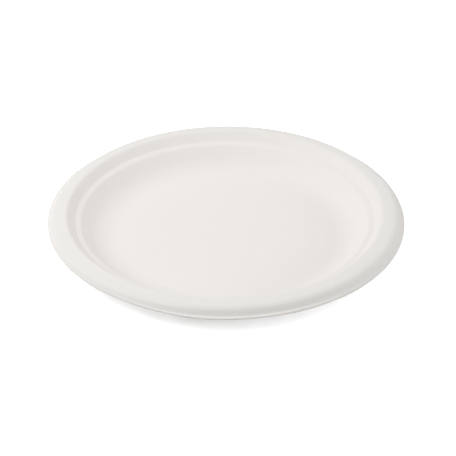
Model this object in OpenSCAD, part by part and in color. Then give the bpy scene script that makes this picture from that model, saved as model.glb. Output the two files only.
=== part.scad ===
// Round dinner plate of moulded white fibre: one sheet, pressed to shape and trimmed at the lip.
// Millimetres, +Z up. The origin is the centre of the floor's underside, on the table.
// The section is drawn on the eating side, and the underside lies one sheet thickness below it.

/* [Overall] */
// Diameter over the trimmed lip
plate_d = 225; // [190:1:270]
// Height from the table to the top of the rim
plate_h = 18.4; // [16:0.1:26]
// Thickness of the pressed sheet
sheet_t = 0.6; // [0.4:0.05:1.2]

/* [Well] */
// Radius of the curve from the flat floor into the lower wall, as far as the wall has room
foot_round = 24; // [10:0.5:26]
// Slope of the lower wall
lower_wall_slope = 42; // [36:1:55]
// Height of the ledge's inner edge above the floor
ledge_h = 11.4; // [8:0.1:12.5]
// Width of the ledge between the two walls
ledge_w = 3.5; // [2.5:0.1:6]
// Slope of the ledge, rising outwards
ledge_slope = 21.5; // [10:0.5:30]
// Radius at both edges of the ledge
ledge_round = 3.2; // [1.5:0.1:6]
// Slope of the upper wall
upper_wall_slope = 44; // [40:0.5:60]

/* [Rim] */
// Width of the rim, from the corner above the upper wall to the lip
rim_w = 13.5; // [10:0.1:20]
// Radius of the rim's inner corner, where the upper wall ends
crest_round = 3.4; // [1.5:0.1:6.5]
// Slope of the rim, falling outwards
rim_slope = 9; // [3:0.5:12]
// Radius where the rim turns down, as far as the rim and the turned-down edge have room
shoulder_round = 5.4; // [2:0.1:8]
// Slope of the turned-down edge
skirt_slope = 60; // [55:1:80]

/* [Lip] */
// Height of the lip above the table
lip_h = 12.6; // [9:0.1:13.2]
// Width of the flange that the trimming leaves round the turned-down edge
flange_w = 2.1; // [1:0.1:3]
// Slope of the flange, falling outwards
flange_slope = 2; // [0:1:30]
// Radius in the corner between the turned-down edge and the flange
flange_round = 1; // [0.5:0.1:1.5]

/* [Hidden] */
// Largest turn between neighbouring points of an arc, in degrees
arc_step = 6;
// Sides of the plate as it is turned
plate_sides = 180;
// Share of a straight run that the bends at its ends may take
bend_share = 0.95;

plate_r = plate_d / 2;
half_turn_in = (upper_wall_slope + rim_slope) / 2;
half_lean_in = (upper_wall_slope - rim_slope) / 2;
// How far the sharp corner of wall and rim stands above the rounded one
crest_cut = crest_round * (cos(half_lean_in) / cos(half_turn_in) - 1);

// Where the line through p at slope a meets the line through q at slope b
function meeting(p, a, q, b) =
    let (r = (q.y - p.y + p.x * tan(a) - q.x * tan(b)) / (tan(a) - tan(b)))
    [r, p.y + (r - p.x) * tan(a)];

// Sharp corners of the eating side as [radius, height], from the lip inwards
lip_edge = [plate_r, lip_h];
flange_corner = lip_edge + flange_w * [-1, tan(flange_slope)];
crest_corner = [plate_r - rim_w, plate_h + crest_cut];
shoulder_corner = meeting(crest_corner, -rim_slope, flange_corner, -skirt_slope);
ledge_inner_z = sheet_t + ledge_h;
ledge_outer_z = ledge_inner_z + ledge_w * tan(ledge_slope);
upper_wall_run = (crest_corner.y - ledge_outer_z) / tan(upper_wall_slope);
ledge_outer = [crest_corner.x - upper_wall_run, ledge_outer_z];
ledge_inner = [ledge_outer.x - ledge_w, ledge_inner_z];
foot_corner = [ledge_inner.x - ledge_h / tan(lower_wall_slope), sheet_t];

// How far a bend reaches along the runs beside its corner
function reach(radius, turn) = radius * tan(abs(turn) / 2);

// The radius, or the largest one that fits in the room beside the corner
function fitted(radius, turn, room) = min(radius, room / tan(abs(turn) / 2));

foot_room =
    bend_share * norm(ledge_inner - foot_corner) - reach(ledge_round, lower_wall_slope - ledge_slope);
rim_room =
    bend_share * norm(shoulder_corner - crest_corner) - reach(crest_round, upper_wall_slope + rim_slope);
skirt_room =
    bend_share * norm(flange_corner - shoulder_corner) - reach(flange_round, skirt_slope - flange_slope);
foot_fitted = fitted(foot_round, lower_wall_slope, foot_room);
shoulder_fitted = fitted(shoulder_round, skirt_slope - rim_slope, min(rim_room, skirt_room));

// Arc that joins two straight runs at a corner, as [point, heading] pairs.
// A heading is the slope of the sheet there, going outwards.
function bend(corner, radius, from, to) =
    let (
        turn = to - from,
        side = sign(turn),
        start = corner - reach(radius, turn) * [cos(from), sin(from)],
        centre = start + side * radius * [-sin(from), cos(from)],
        steps = ceil(abs(turn) / arc_step)
    )
    [for (i = [0 : steps])
        let (heading = from + turn * i / steps)
        [centre + side * radius * [sin(heading), -cos(heading)], heading]];

eating_side = concat(
    [[[0, sheet_t], 0]],
    bend(foot_corner, foot_fitted, 0, lower_wall_slope),
    bend(ledge_inner, ledge_round, lower_wall_slope, ledge_slope),
    bend(ledge_outer, ledge_round, ledge_slope, upper_wall_slope),
    bend(crest_corner, crest_round, upper_wall_slope, -rim_slope),
    bend(shoulder_corner, shoulder_fitted, -rim_slope, -skirt_slope),
    bend(flange_corner, flange_round, -skirt_slope, -flange_slope)
);

// The underside of a path: each point one sheet thickness below it, square to the sheet
function underside(path) =
    [for (p = path) p[0] - sheet_t * [-sin(p[1]), cos(p[1])]];

// The lip is trimmed upright, so its lower edge is straight below its upper one
lip_cut = [lip_edge, lip_edge - [0, sheet_t / cos(flange_slope)]];

module plate_section() {
    below = underside(eating_side);
    polygon(concat(
        [for (p = eating_side) p[0]],
        lip_cut,
        [for (i = [len(below) - 1 : -1 : 0]) below[i]]
    ));
}

module plate() {
    color("#ebe7e4")
        rotate_extrude($fn = plate_sides) plate_section();
}

plate();
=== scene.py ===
"""A round plate of moulded white fibre, standing on a plain pale table.

Metres, +Z up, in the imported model's frame: the origin is the centre of the floor's underside.
The plate is turned from its section, and the section has the same sizes as the solid's.
"""

import math

import bpy
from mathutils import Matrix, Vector


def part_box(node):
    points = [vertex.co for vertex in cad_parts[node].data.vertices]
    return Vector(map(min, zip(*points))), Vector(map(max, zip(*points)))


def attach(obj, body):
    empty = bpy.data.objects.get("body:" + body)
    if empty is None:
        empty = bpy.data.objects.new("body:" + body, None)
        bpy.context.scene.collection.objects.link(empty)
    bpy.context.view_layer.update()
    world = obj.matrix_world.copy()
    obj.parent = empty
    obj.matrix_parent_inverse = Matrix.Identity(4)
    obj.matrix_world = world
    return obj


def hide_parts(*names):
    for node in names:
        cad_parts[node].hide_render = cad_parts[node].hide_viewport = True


MM = 0.001

# Camera, as the photograph was taken
PHOTO_PX = 456
SENSOR_MM = 36
FOCAL_PX = 2144
CAMERA_ELEVATION = math.radians(32.28)
CAMERA_DISTANCE = 1.35
# Nearest and farthest that the camera sees, in metres
CAMERA_REACH = (0.01, 20)
# Where the middle of the plate's floor falls in the photograph
FLOOR_CENTRE_PX = Vector((224.7, 233.17))

# Section of the plate; its radius and height come from the frame
SHEET_T = 0.6 * MM
FOOT_ROUND = 24 * MM
LOWER_WALL_SLOPE = math.radians(42)
LEDGE_H = 11.4 * MM
LEDGE_W = 3.5 * MM
LEDGE_SLOPE = math.radians(21.5)
LEDGE_ROUND = 3.2 * MM
UPPER_WALL_SLOPE = math.radians(44)
RIM_W = 13.5 * MM
CREST_ROUND = 3.4 * MM
RIM_SLOPE = math.radians(9)
SHOULDER_ROUND = 5.4 * MM
SKIRT_SLOPE = math.radians(60)
LIP_H = 12.6 * MM
FLANGE_W = 2.1 * MM
FLANGE_SLOPE = math.radians(2)
FLANGE_ROUND = 1.0 * MM

# Small unevenness of the real plate. From this radius outwards it leans up on one side, is
# warped like a saddle and sinks a little; each is given as it is at the lip.
BENT_FROM = 75 * MM
LEAN = 0.93 * MM
LEAN_TOWARDS = math.radians(5)
WARP = 0.54 * MM
WARP_ALONG = math.radians(84)
SINK = 0.17 * MM
# Width of the turned-down edge with its flange, and how far it is lifted in one place
SKIRT_W = 6 * MM
LIFT = 1.5 * MM
LIFT_AT = math.radians(218)
LIFT_SPREAD = math.radians(48)
# Round one part of the lip the flange is trimmed closer
CLOSE_TRIM = 1.75 * MM
TRIM_AT = math.radians(207)
TRIM_SPREAD = math.radians(58)
# Round another it droops, in line with the turned-down edge
DROOP = 0.84 * MM
DROOP_AT = math.radians(334)
DROOP_SPREAD = math.radians(61)

# Fineness of the turned mesh
ARC_STEP = math.radians(4)
RUN_STEP = 2 * MM
FLOOR_RINGS = 12
SIDES = 360
# Points closer than this become one, where the turned mesh meets itself and at its middle
SEAM_MERGE = 0.01 * MM

# Colour of the pressed fibre in the well, a darker and cooler colour on the rim that is painted shade,
# and the radii between which the one changes to the other
WELL_COLOUR = (0.83, 0.80, 0.775, 1)
RIM_PAINTED_SHADE_COLOUR = (0.804, 0.782, 0.755, 1)
PAINTED_SHADE_RADII = (97 * MM, 101 * MM)
ROUGHNESS = 0.82
ROUGHNESS_SPREAD = 0.12

# Cloudiness, grain and fibres: features to the metre, fineness, share of the tone, and relief
CLOUD_SCALE = 110
CLOUD_DETAIL = 3
CLOUD_TONE = 0.02
CLOUD_RELIEF = 0.06 * MM
GRAIN_SCALE = 2200
GRAIN_DETAIL = 2
GRAIN_TONE = 0.02
GRAIN_RELIEF = 0.03 * MM
FIBRE_SCALE = 380
FIBRE_DETAIL = 1
FIBRE_STRETCH = (1, 7, 7)
# The ways that the fibres lie, and how far their slow drift turns them, in radians
FIBRE_ANGLES = (0.3, 1.35, 2.4)
FIBRE_DRIFT = 160
FIBRE_BEND = 0.03
# The part of the noise that shows as fibres, and the share of the surface that they cover
FIBRE_BAND = (0.62, 0.72)
FIBRE_SHARE = 0.2
FIBRE_TONE = 0.015
FIBRE_RELIEF = 0.02 * MM

# Softboxes as name: (direction round the plate, height in degrees, width in metres, power in watts)
LIGHT_DISTANCE = 1.6
SOFTBOXES = {
    "key_far_left": (166, 53, 1.0, 12.35),
    "low_left": (194, 35, 0.8, 3.2),
    "near_right": (318, 24, 0.8, 4.0),
    "low_right": (8, 20, 0.8, 4.15),
}
WORLD_FILL = 0.463

TABLE_SIZE = 6.0
# The table lies this much under the foot, so that the two faces stay apart
TABLE_DROP = 0.1 * MM
TABLE_ALBEDO = 0.64
TABLE_CAMERA_COLOUR = (2.62, 2.66, 2.70, 1)


class Socket:
    """An output socket that takes part in Python expressions, each of which adds its Math node."""

    def __init__(self, tree, output):
        self.tree = tree
        self.output = output

    def __add__(self, other):
        return maths(self.tree, "ADD", self, other)

    def __radd__(self, other):
        return maths(self.tree, "ADD", other, self)

    def __sub__(self, other):
        return maths(self.tree, "SUBTRACT", self, other)

    def __rsub__(self, other):
        return maths(self.tree, "SUBTRACT", other, self)

    def __mul__(self, other):
        return maths(self.tree, "MULTIPLY", self, other)

    def __rmul__(self, other):
        return maths(self.tree, "MULTIPLY", other, self)

    def __truediv__(self, other):
        return maths(self.tree, "DIVIDE", self, other)

    def __pow__(self, other):
        return maths(self.tree, "POWER", self, other)


def plug(tree, slot, value):
    """Links an input socket to an output, or sets it to a number, colour or data block."""
    if isinstance(value, Socket):
        tree.links.new(value.output, slot)
    else:
        slot.default_value = value


def maths(tree, operation, *operands):
    node = tree.nodes.new("ShaderNodeMath")
    node.operation = operation
    for slot, value in zip(node.inputs, operands):
        plug(tree, slot, value)
    return Socket(tree, node.outputs[0])


class Nodes:
    """A node tree under construction."""

    def __init__(self, tree):
        self.tree = tree

    def add(self, kind, settings=None, inputs=None):
        """A new node of this kind. Settings come first, then its sockets by name or identifier."""
        node = self.tree.nodes.new(kind)
        for name, value in (settings or {}).items():
            setattr(node, name, value)
        for name, value in (inputs or {}).items():
            slot = next(s for s in node.inputs if name in (s.identifier, s.name) and s.enabled)
            plug(self.tree, slot, value)
        return {s.name: Socket(self.tree, s) for s in node.outputs if s.enabled}

    def maths(self, operation, *operands):
        return maths(self.tree, operation, *operands)

    def turned(self, place, angle):
        """A place turned about the upright axis."""
        turn = {"Vector": place, "Angle": angle}
        return self.add("ShaderNodeVectorRotate", {"rotation_type": "Z_AXIS"}, turn)["Vector"]

    def stretched(self, place, scales):
        factors = {"Vector": place, "Vector_001": scales}
        return self.add("ShaderNodeVectorMath", {"operation": "MULTIPLY"}, factors)["Vector"]

    def noise(self, place, scale, detail, roughness=0.5):
        """Smooth noise from 0 to 1, with this many features to the metre."""
        sizes = {"Vector": place, "Scale": scale, "Detail": detail, "Roughness": roughness}
        return self.add("ShaderNodeTexNoise", None, sizes)["Fac"]

    def ramp(self, value, low, high):
        """From 0 where the value is low to 1 where it is high, eased at both ends."""
        ends = {"Value": value, "From Min": low, "From Max": high}
        return self.add("ShaderNodeMapRange", {"interpolation_type": "SMOOTHSTEP"}, ends)["Result"]

    def towards(self, angle, middle, spread):
        """1 in this direction round the plate, and eased to 0 at the spread on either side of it."""
        return self.ramp(self.maths("COSINE", angle - middle), self.maths("COSINE", spread), 1)

    def blend(self, factor, one, other):
        """One colour where the factor is 0 and the other where it is 1."""
        colours = {"Factor_Float": factor, "A_Color": one, "B_Color": other}
        return self.add("ShaderNodeMix", {"data_type": "RGBA"}, colours)["Result"]

    def tinted(self, colour, level):
        """The colour made lighter or darker by a number near 1."""
        scale = {"Vector": colour, "Scale": level}
        return self.add("ShaderNodeVectorMath", {"operation": "SCALE"}, scale)["Vector"]


def make_camera():
    """The photograph's camera, with the plate's floor where the photograph has it."""
    data = bpy.data.cameras.new("camera")
    data.sensor_width = SENSOR_MM
    data.lens = FOCAL_PX / PHOTO_PX * SENSOR_MM
    data.clip_start, data.clip_end = CAMERA_REACH
    camera = bpy.data.objects.new("camera", data)
    bpy.context.scene.collection.objects.link(camera)
    back = Vector((0, -math.cos(CAMERA_ELEVATION), math.sin(CAMERA_ELEVATION)))
    up = Vector((0, math.sin(CAMERA_ELEVATION), math.cos(CAMERA_ELEVATION)))
    off_centre = (Vector((PHOTO_PX, PHOTO_PX)) / 2 - FLOOR_CENTRE_PX) * (CAMERA_DISTANCE / FOCAL_PX)
    aim = Vector((off_centre.x, 0, SHEET_T)) - up * off_centre.y
    camera.location = aim + back * CAMERA_DISTANCE
    camera.rotation_euler = (-back).to_track_quat("-Z", "Y").to_euler()
    bpy.context.scene.camera = camera


def meeting(p, slope_p, q, slope_q):
    """Where the line through p meets the line through q."""
    tan_p, tan_q = math.tan(slope_p), math.tan(slope_q)
    r = (q.y - p.y + p.x * tan_p - q.x * tan_q) / (tan_p - tan_q)
    return Vector((r, p.y + (r - p.x) * tan_p))


def bend(corner, radius, slope_in, slope_out):
    """The arc that joins two straight runs at a corner, as (point, slope) pairs going outwards."""
    turn = slope_out - slope_in
    side = math.copysign(1, turn)
    start = corner - radius * math.tan(abs(turn) / 2) * Vector((math.cos(slope_in), math.sin(slope_in)))
    centre = start + side * radius * Vector((-math.sin(slope_in), math.cos(slope_in)))
    steps = math.ceil(abs(turn) / ARC_STEP)
    slopes = [slope_in + turn * i / steps for i in range(steps + 1)]
    return [(centre + side * radius * Vector((math.sin(s), -math.cos(s))), s) for s in slopes]


def eating_side(plate_r, plate_h):
    """The upper face of the section from the centre to the lip, as (point, slope) pairs."""
    lip = Vector((plate_r, LIP_H))
    flange = lip + FLANGE_W * Vector((-1, math.tan(FLANGE_SLOPE)))
    lean = math.cos((UPPER_WALL_SLOPE - RIM_SLOPE) / 2)
    turn = math.cos((UPPER_WALL_SLOPE + RIM_SLOPE) / 2)
    crest = Vector((plate_r - RIM_W, plate_h + CREST_ROUND * (lean / turn - 1)))
    shoulder = meeting(crest, -RIM_SLOPE, flange, -SKIRT_SLOPE)
    inner_z = SHEET_T + LEDGE_H
    outer_z = inner_z + LEDGE_W * math.tan(LEDGE_SLOPE)
    ledge_out = Vector((crest.x - (crest.y - outer_z) / math.tan(UPPER_WALL_SLOPE), outer_z))
    ledge_in = Vector((ledge_out.x - LEDGE_W, inner_z))
    foot = Vector((ledge_in.x - LEDGE_H / math.tan(LOWER_WALL_SLOPE), SHEET_T))
    return [
        (Vector((0, SHEET_T)), 0.0),
        *bend(foot, FOOT_ROUND, 0.0, LOWER_WALL_SLOPE),
        *bend(ledge_in, LEDGE_ROUND, LOWER_WALL_SLOPE, LEDGE_SLOPE),
        *bend(ledge_out, LEDGE_ROUND, LEDGE_SLOPE, UPPER_WALL_SLOPE),
        *bend(crest, CREST_ROUND, UPPER_WALL_SLOPE, -RIM_SLOPE),
        *bend(shoulder, SHOULDER_ROUND, -RIM_SLOPE, -SKIRT_SLOPE),
        *bend(flange, FLANGE_ROUND, -SKIRT_SLOPE, -FLANGE_SLOPE),
        (lip, -FLANGE_SLOPE),
    ]


def with_rings(path):
    """The path with its long straight runs divided, so that the sheet can bend a little."""
    out = [path[0]]
    for (p, slope_p), (q, slope_q) in zip(path, path[1:]):
        run = (q - p).length
        parts = FLOOR_RINGS if p.x == 0 else math.ceil(run / RUN_STEP)
        for i in range(1, parts + 1):
            out.append((p.lerp(q, i / parts), slope_p + (slope_q - slope_p) * i / parts))
    return out


def section_outline(plate_r, plate_h):
    """All round the section: the eating side outwards, the trimmed lip, and the underside back in."""
    upper = with_rings(eating_side(plate_r, plate_h))
    lower = [p - SHEET_T * Vector((-math.sin(s), math.cos(s))) for p, s in upper[:-1]]
    lip = upper[-1][0]
    lower.append(lip - Vector((0, SHEET_T / math.cos(FLANGE_SLOPE))))
    return [p for p, _ in upper] + lower[::-1]


def turning_tree():
    """Geometry Nodes that turn a run of points, given as radius and height, into a plate.

    The walls and rim lean, warp and sink a little. The turned-down edge is lifted in one place.
    Part of the flange is trimmed closer, and part droops.
    """
    tree = bpy.data.node_groups.new("turned_plate", "GeometryNodeTree")
    face = tree.interface
    face.new_socket("Section", in_out="INPUT", socket_type="NodeSocketGeometry")
    face.new_socket("Sides", in_out="INPUT", socket_type="NodeSocketInt")
    bends = ("Bent From", "Lean", "Lean Towards", "Warp", "Warp Along", "Sink")
    trims = ("Lip Radius", "Flange", "Flange Fall", "Close Trim", "Trim At", "Trim Spread")
    lifts = ("Edge From", "Lift", "Lift At", "Lift Spread", "Droop", "Droop At", "Droop Spread")
    for name in bends + trims + lifts:
        face.new_socket(name, in_out="INPUT", socket_type="NodeSocketFloat")
    face.new_socket("Finish", in_out="INPUT", socket_type="NodeSocketMaterial")
    face.new_socket("Plate", in_out="OUTPUT", socket_type="NodeSocketGeometry")
    n = Nodes(tree)
    given = n.add("NodeGroupInput")
    section, sides, lip = given["Section"], given["Sides"], given["Lip Radius"]

    # One row of the grid for each point of the section, and one column for each side
    counted = n.add("GeometryNodeAttributeDomainSize", {"component": "MESH"}, {"Geometry": section})
    columns = sides + 1
    cells = {"Vertices X": counted["Point Count"], "Vertices Y": columns}
    grid = n.add("GeometryNodeMeshGrid", None, cells)["Mesh"]
    index = n.add("GeometryNodeInputIndex")["Index"]
    row = n.maths("FLOOR", (index + 0.5) / columns)
    angle = (index - row * columns) * math.tau / sides
    drawn = {"Geometry": section, "Value": n.add("GeometryNodeInputPosition")["Position"], "Index": row}
    point = n.add("GeometryNodeSampleIndex", {"data_type": "FLOAT_VECTOR"}, drawn)["Value"]
    split = n.add("ShaderNodeSeparateXYZ", None, {"Vector": point})
    radius, height = split["X"], split["Z"]

    # The bends grow from the foot to the lip
    lean = given["Lean"] * n.maths("COSINE", angle - given["Lean Towards"])
    warp = given["Warp"] * n.maths("COSINE", 2 * (angle - given["Warp Along"]))
    rise = (lean + warp - given["Sink"]) * n.ramp(radius, given["Bent From"], lip)

    # The lift grows down the turned-down edge and takes the flange with it
    edge = n.ramp(radius, given["Edge From"], lip - given["Flange"])
    lift = given["Lift"] * edge * n.towards(angle, given["Lift At"], given["Lift Spread"])

    # The trim and the droop take the flange only: all at the lip, nothing at the turned-down edge
    share = n.maths("MAXIMUM", 1 - (lip - radius) / given["Flange"], 0)
    cut = given["Close Trim"] * share * n.towards(angle, given["Trim At"], given["Trim Spread"])
    sag = given["Droop"] * share * n.towards(angle, given["Droop At"], given["Droop Spread"])
    place = {
        "X": (radius - cut) * n.maths("COSINE", angle),
        "Y": (radius - cut) * n.maths("SINE", angle),
        "Z": height + cut * given["Flange Fall"] + rise + lift - sag,
    }
    turned = n.add("ShaderNodeCombineXYZ", None, place)["Vector"]
    shell = n.add("GeometryNodeSetPosition", None, {"Geometry": grid, "Position": turned})["Geometry"]
    merge = {"Geometry": shell, "Distance": SEAM_MERGE}
    closed = n.add("GeometryNodeMergeByDistance", None, merge)["Geometry"]
    smooth = n.add("GeometryNodeSetShadeSmooth", None, {"Geometry": closed})["Geometry"]
    real = n.add("GeometryNodeRealizeInstances", None, {"Geometry": smooth})["Geometry"]
    coat = {"Geometry": real, "Material": given["Finish"]}
    finished = n.add("GeometryNodeSetMaterial", None, coat)["Geometry"]
    n.add("NodeGroupOutput", None, {"Plate": finished})
    return tree


def make_plate(finish):
    """The plate as one plain mesh, turned from its section."""
    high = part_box("plate")[1]
    outline = section_outline(high.x, high.z)
    mesh = bpy.data.meshes.new("section")
    edges = [(i, i + 1) for i in range(len(outline) - 1)]
    mesh.from_pydata([(p.x, 0, p.y) for p in outline], edges, [])
    drawn = bpy.data.objects.new("section", mesh)
    bpy.context.scene.collection.objects.link(drawn)
    tree = turning_tree()
    modifier = drawn.modifiers.new("turn", "NODES")
    modifier.node_group = tree
    sockets = {s.name: s.identifier for s in tree.interface.items_tree if s.in_out == "INPUT"}
    sizes = {
        "Sides": SIDES,
        "Bent From": BENT_FROM,
        "Lean": LEAN,
        "Lean Towards": LEAN_TOWARDS,
        "Warp": WARP,
        "Warp Along": WARP_ALONG,
        "Sink": SINK,
        "Lip Radius": high.x,
        "Flange": FLANGE_W,
        "Flange Fall": math.tan(FLANGE_SLOPE),
        "Close Trim": CLOSE_TRIM,
        "Trim At": TRIM_AT,
        "Trim Spread": TRIM_SPREAD,
        "Edge From": high.x - SKIRT_W,
        "Lift": LIFT,
        "Lift At": LIFT_AT,
        "Lift Spread": LIFT_SPREAD,
        "Droop": DROOP,
        "Droop At": DROOP_AT,
        "Droop Spread": DROOP_SPREAD,
        "Finish": finish,
    }
    for name, value in sizes.items():
        modifier[sockets[name]] = value
    evaluated = drawn.evaluated_get(bpy.context.evaluated_depsgraph_get())
    plate = bpy.data.objects.new("moulded_plate", bpy.data.meshes.new_from_object(evaluated))
    plate.data.name = "moulded_plate"
    # The grid node leaves an empty material slot before the finish
    plate.data.materials.pop(index=0)
    bpy.data.objects.remove(drawn)
    bpy.context.scene.collection.objects.link(plate)
    return plate


def new_material(name):
    """An empty material, and its nodes to build with."""
    material = bpy.data.materials.new(name)
    material.use_nodes = True
    material.node_tree.nodes.clear()
    return material, Nodes(material.node_tree)


def fibres(n, place):
    """Short fibres lying all ways in the sheet: 1 along the middle of each, 0 between them."""
    drift = n.noise(place, FIBRE_DRIFT, FIBRE_DETAIL)
    lying = []
    for angle in FIBRE_ANGLES:
        along = n.turned(place, angle + FIBRE_BEND * drift)
        grain = n.noise(n.stretched(along, FIBRE_STRETCH), FIBRE_SCALE, FIBRE_DETAIL)
        lying.append(n.ramp(grain, *FIBRE_BAND))
    return n.maths("MAXIMUM", n.maths("MAXIMUM", lying[0], lying[1]), lying[2])


def moulded_fibre():
    """Hot-pressed plant fibre: matt and white, faintly cloudy, with short fibres in its surface, and
    painted shade that makes the rim darker and cooler than the well.
    """
    material, n = new_material("moulded_fibre")
    place = n.add("ShaderNodeTexCoord")["Object"]
    axes = n.add("ShaderNodeSeparateXYZ", None, {"Vector": place})
    radius = (axes["X"] * axes["X"] + axes["Y"] * axes["Y"]) ** 0.5
    # Painted shade: from the well's edge outwards the colour turns darker and cooler, standing in for
    # shade on the rim
    rim_painted_shade = n.ramp(radius, *PAINTED_SHADE_RADII)
    cloud = n.noise(place, CLOUD_SCALE, CLOUD_DETAIL)
    grain = n.noise(place, GRAIN_SCALE, GRAIN_DETAIL)
    fibre = fibres(n, place)
    level = 1 + CLOUD_TONE * (cloud - 0.5) + GRAIN_TONE * (grain - 0.5)
    level = level + FIBRE_TONE * (fibre - FIBRE_SHARE)
    colour = n.tinted(n.blend(rim_painted_shade, WELL_COLOUR, RIM_PAINTED_SHADE_COLOUR), level)
    # The relief is in metres, so the bump's own distance is 1
    height = CLOUD_RELIEF * cloud + GRAIN_RELIEF * grain + FIBRE_RELIEF * fibre
    bump = n.add("ShaderNodeBump", None, {"Height": height, "Distance": 1.0})["Normal"]
    looks = {
        "Base Color": colour,
        "Roughness": ROUGHNESS + ROUGHNESS_SPREAD * (grain - 0.5),
        "Normal": bump,
    }
    shader = n.add("ShaderNodeBsdfPrincipled", None, looks)
    n.add("ShaderNodeOutputMaterial", None, {"Surface": shader["BSDF"]})
    return material


def shown_rays(n):
    """1 for the rays that show the background: to the camera, mirrored or through glass."""
    path = n.add("ShaderNodeLightPath")
    rays = path["Is Camera Ray"] + path["Is Glossy Ray"] + path["Is Transmission Ray"]
    return n.maths("MINIMUM", rays, 1)


def table_surface():
    """A pale matt table that reads as white to the camera and keeps the plate's shadow."""
    material, n = new_material("table_surface")
    seen = shown_rays(n)
    plain = (TABLE_ALBEDO, TABLE_ALBEDO, TABLE_ALBEDO, 1)
    unseen = n.add("ShaderNodeBsdfDiffuse", None, {"Color": plain})["BSDF"]
    shown = n.add("ShaderNodeBsdfDiffuse", None, {"Color": TABLE_CAMERA_COLOUR})["BSDF"]
    pair = {"Fac": seen, "Shader": unseen, "Shader_001": shown}
    mixed = n.add("ShaderNodeMixShader", None, pair)["Shader"]
    n.add("ShaderNodeOutputMaterial", None, {"Surface": mixed})
    return material


def make_table():
    half = TABLE_SIZE / 2
    mesh = bpy.data.meshes.new("table")
    low = -TABLE_DROP
    corners = [(-half, -half, low), (half, -half, low), (half, half, low), (-half, half, low)]
    mesh.from_pydata(corners, [], [(0, 1, 2, 3)])
    mesh.materials.append(table_surface())
    table = bpy.data.objects.new("table", mesh)
    bpy.context.scene.collection.objects.link(table)


def make_world():
    world = bpy.data.worlds.new("studio")
    bpy.context.scene.world = world
    world.use_nodes = True
    tree = world.node_tree
    tree.nodes.clear()
    n = Nodes(tree)
    seen = shown_rays(n)
    strength = WORLD_FILL + (1 - WORLD_FILL) * seen
    white = n.add("ShaderNodeBackground", None, {"Color": (1, 1, 1, 1), "Strength": strength})
    n.add("ShaderNodeOutputWorld", None, {"Surface": white["Background"]})


def make_softboxes():
    for name, (direction, height, width, power) in SOFTBOXES.items():
        data = bpy.data.lights.new(name, "AREA")
        data.shape = "DISK"
        data.size = width
        data.energy = power
        lamp = bpy.data.objects.new(name, data)
        bpy.context.scene.collection.objects.link(lamp)
        turn, rise = math.radians(direction), math.radians(height)
        level = math.cos(rise)
        out = Vector((math.cos(turn) * level, math.sin(turn) * level, math.sin(rise)))
        lamp.location = out * LIGHT_DISTANCE
        lamp.rotation_euler = (-out).to_track_quat("-Z", "Y").to_euler()


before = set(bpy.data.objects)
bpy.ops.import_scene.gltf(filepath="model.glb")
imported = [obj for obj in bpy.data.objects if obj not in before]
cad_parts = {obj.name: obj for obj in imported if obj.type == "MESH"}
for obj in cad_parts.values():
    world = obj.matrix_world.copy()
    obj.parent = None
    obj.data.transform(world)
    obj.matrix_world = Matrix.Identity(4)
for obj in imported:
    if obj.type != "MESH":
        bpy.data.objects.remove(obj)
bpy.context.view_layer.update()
make_camera()
bpy.context.scene.view_settings.view_transform = "Standard"

plate = make_plate(moulded_fibre())
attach(plate, "root")
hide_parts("plate")

make_table()
make_world()
make_softboxes()
